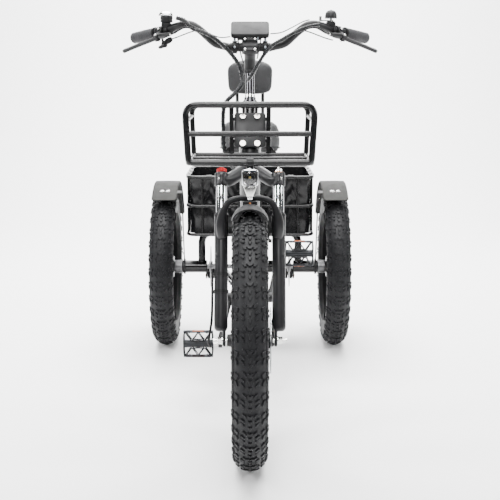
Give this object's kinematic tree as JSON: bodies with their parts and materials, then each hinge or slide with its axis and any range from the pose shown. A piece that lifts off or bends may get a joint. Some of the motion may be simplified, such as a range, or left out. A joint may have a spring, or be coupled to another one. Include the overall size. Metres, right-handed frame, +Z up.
{
  "type": "adult tricycle",
  "caption": "Electric adult tricycle with fat knobby tyres, a suspension fork, a front rack, a padded seat with backrest and a lined rear basket.",
  "frame": {"origin": "on the floor, midway along the whole length and between the rear wheels", "axes": "+Z up, the front faces -Y, +X is the rider's left"},
  "size_m": [0.75, 1.9027, 1.2349],
  "materials": {
    "frame_paint": "gloss black paint",
    "satin_black": "satin black paint",
    "fender_paint": "satin dark grey paint",
    "black_plastic": "moulded black plastic",
    "gloss_plastic": "smooth black plastic",
    "chrome": "polished chrome",
    "bolt_steel": "polished steel",
    "brake_steel": "ground steel",
    "hub_alloy": "turned aluminium",
    "dark_alloy": "anodised dark grey",
    "lamp_shell": "chromed lamp",
    "tyre_rubber": "black rubber",
    "grip_rubber": "ribbed grey-black rubber",
    "cable_wrap": "spiral wrapped cable",
    "vinyl": "glossy black coated fabric",
    "saddle_skin": "textured black vinyl leather",
    "chain_steel": "oiled dark steel",
    "red_knob": "red anodised"
  },
  "bodies": {
    "frame": {"main_frame": "frame_paint", "rear_subframe": "frame_paint", "bearing_cups": "satin_black", "front_rack": "frame_paint", "rack_bolts": "bolt_steel", "headlight": "lamp_shell", "rear_basket": "frame_paint", "basket_liner": "vinyl", "rear_fenders": "fender_paint", "fender_hardware": "bolt_steel", "battery": "black_plastic", "controller": "dark_alloy", "seat_clamp": "satin_black", "chain": "chain_steel", "derailleur": "dark_alloy", "rear_calipers": "satin_black"},
    "steering": {"fork_crown": "satin_black", "stanchions": "chrome", "quill": "chrome", "stem": "satin_black", "handlebar": "satin_black", "grips": "grip_rubber", "brake_perches": "gloss_plastic", "shifter": "black_plastic", "throttle_clamp": "black_plastic", "bell": "gloss_plastic", "display": "black_plastic", "cable_harness": "cable_wrap"},
    "lockout": {"lockout_knob": "red_knob"},
    "lowers": {"fork_lowers": "satin_black", "front_caliper": "satin_black", "front_fender": "black_plastic", "front_axle": "bolt_steel", "motor_cable": "cable_wrap"},
    "front_wheel": {"front_tyre": "tyre_rubber", "front_rim": "satin_black", "front_hub": "dark_alloy", "front_rotor": "brake_steel"},
    "crank": {"chainring": "satin_black", "crank_arm_right": "satin_black", "crank_arm_left": "satin_black"},
    "right_pedal": {"pedal_right": "dark_alloy"},
    "left_pedal": {"pedal_left": "dark_alloy"},
    "right_wheel": {"rear_tyre_right": "tyre_rubber", "rear_rim_right": "satin_black", "rear_hub_right": "hub_alloy"},
    "left_wheel": {"rear_tyre_left": "tyre_rubber", "rear_rim_left": "satin_black", "rear_hub_left": "hub_alloy"},
    "sprockets": {"cassette": "brake_steel"},
    "upper_jockey": {"jockey_upper": "black_plastic"},
    "lower_jockey": {"jockey_lower": "black_plastic"},
    "right_brake": {"brake_lever_right": "satin_black"},
    "left_brake": {"brake_lever_left": "satin_black"},
    "shift_paddle": {"shift_lever": "black_plastic"},
    "throttle_paddle": {"throttle_lever": "black_plastic"},
    "bell_arm": {"bell_striker": "bolt_steel"},
    "seat": {"seat_post": "satin_black", "saddle": "saddle_skin", "backrest": "saddle_skin"}
  },
  "joints": [
    {"name": "steering_turn", "type": "hinge", "parent": "frame", "child": "steering", "pos_m": [0, -0.56146, 0.33134], "axis": [0, 0.342, 0.9397], "range_deg": [-40, 40], "deforming": ["cable_harness"]},
    {"name": "fork_travel", "type": "slide", "parent": "steering", "child": "lowers", "axis": [0, 0.342, 0.9397], "range_m": [0, 0.05], "stiffness_N_per_m": 9000, "springref_m": -0.03},
    {"name": "lockout_turn", "type": "hinge", "parent": "steering", "child": "lockout", "pos_m": [-0.079, -0.44375, 0.78866], "axis": [0, 0.342, 0.9397], "range_deg": [0, 90]},
    {"name": "front_wheel_spin", "type": "hinge", "parent": "lowers", "child": "front_wheel", "pos_m": [0, -0.6045, 0.347], "axis": [1, 0, 0], "continuous": true},
    {"name": "crank_spin", "type": "hinge", "parent": "frame", "child": "crank", "pos_m": [0, 0.0585, 0.315], "axis": [1, 0, 0], "continuous": true},
    {"name": "right_pedal_spin", "type": "hinge", "parent": "crank", "child": "right_pedal", "pos_m": [0, -0.05077, 0.18477], "axis": [1, 0, 0], "continuous": true},
    {"name": "left_pedal_spin", "type": "hinge", "parent": "crank", "child": "left_pedal", "pos_m": [0, 0.16777, 0.44523], "axis": [1, 0, 0], "continuous": true},
    {"name": "right_wheel_spin", "type": "hinge", "parent": "frame", "child": "right_wheel", "pos_m": [0, 0.6455, 0.306], "axis": [1, 0, 0], "continuous": true},
    {"name": "left_wheel_spin", "type": "hinge", "parent": "frame", "child": "left_wheel", "pos_m": [0, 0.6455, 0.306], "axis": [1, 0, 0], "continuous": true},
    {"name": "cassette_spin", "type": "hinge", "parent": "frame", "child": "sprockets", "pos_m": [0, 0.6455, 0.306], "axis": [1, 0, 0], "continuous": true},
    {"name": "upper_jockey_spin", "type": "hinge", "parent": "frame", "child": "upper_jockey", "pos_m": [-0.05, 0.65, 0.232], "axis": [1, 0, 0], "continuous": true},
    {"name": "lower_jockey_spin", "type": "hinge", "parent": "frame", "child": "lower_jockey", "pos_m": [-0.05, 0.628, 0.175], "axis": [1, 0, 0], "continuous": true},
    {"name": "left_brake_pull", "type": "hinge", "parent": "steering", "child": "left_brake", "pos_m": [0.26637, -0.3, 1.15884], "axis": [0.4914, -0.3623, 0.792], "range_deg": [0, 18], "stiffness_Nm_per_rad": 0.8, "springref_deg": -11.46},
    {"name": "right_brake_pull", "type": "hinge", "parent": "steering", "child": "right_brake", "pos_m": [-0.26637, -0.3, 1.15884], "axis": [0.4914, 0.3623, -0.792], "range_deg": [0, 18], "stiffness_Nm_per_rad": 0.8, "springref_deg": -11.46},
    {"name": "shift_push", "type": "hinge", "parent": "steering", "child": "shift_paddle", "pos_m": [-0.23201, -0.30415, 1.14795], "axis": [0.4914, 0.3623, -0.792], "range_deg": [0, 25], "stiffness_Nm_per_rad": 0.3, "springref_deg": -11.46},
    {"name": "throttle_push", "type": "hinge", "parent": "steering", "child": "throttle_paddle", "pos_m": [-0.25929, -0.27356, 1.17533], "axis": [0.7145, -0.6876, 0.1288], "range_deg": [0, 35], "stiffness_Nm_per_rad": 0.3, "springref_deg": -11.46},
    {"name": "bell_flick", "type": "hinge", "parent": "steering", "child": "bell_arm", "pos_m": [0.23, -0.3105, 1.204], "axis": [0, 0, 1], "range_deg": [0, 25], "stiffness_Nm_per_rad": 0.05, "springref_deg": -17.19},
    {"name": "seat_height", "type": "slide", "parent": "frame", "child": "seat", "axis": [0, 0.342, 0.9397], "range_m": [-0.04, 0.08]}
  ],
  "couplings": [
    {"joint": "cassette_spin", "follows": "crank_spin", "ratio": 2.2},
    {"joint": "upper_jockey_spin", "follows": "crank_spin", "ratio": -4},
    {"joint": "lower_jockey_spin", "follows": "crank_spin", "ratio": 4}
  ]
}
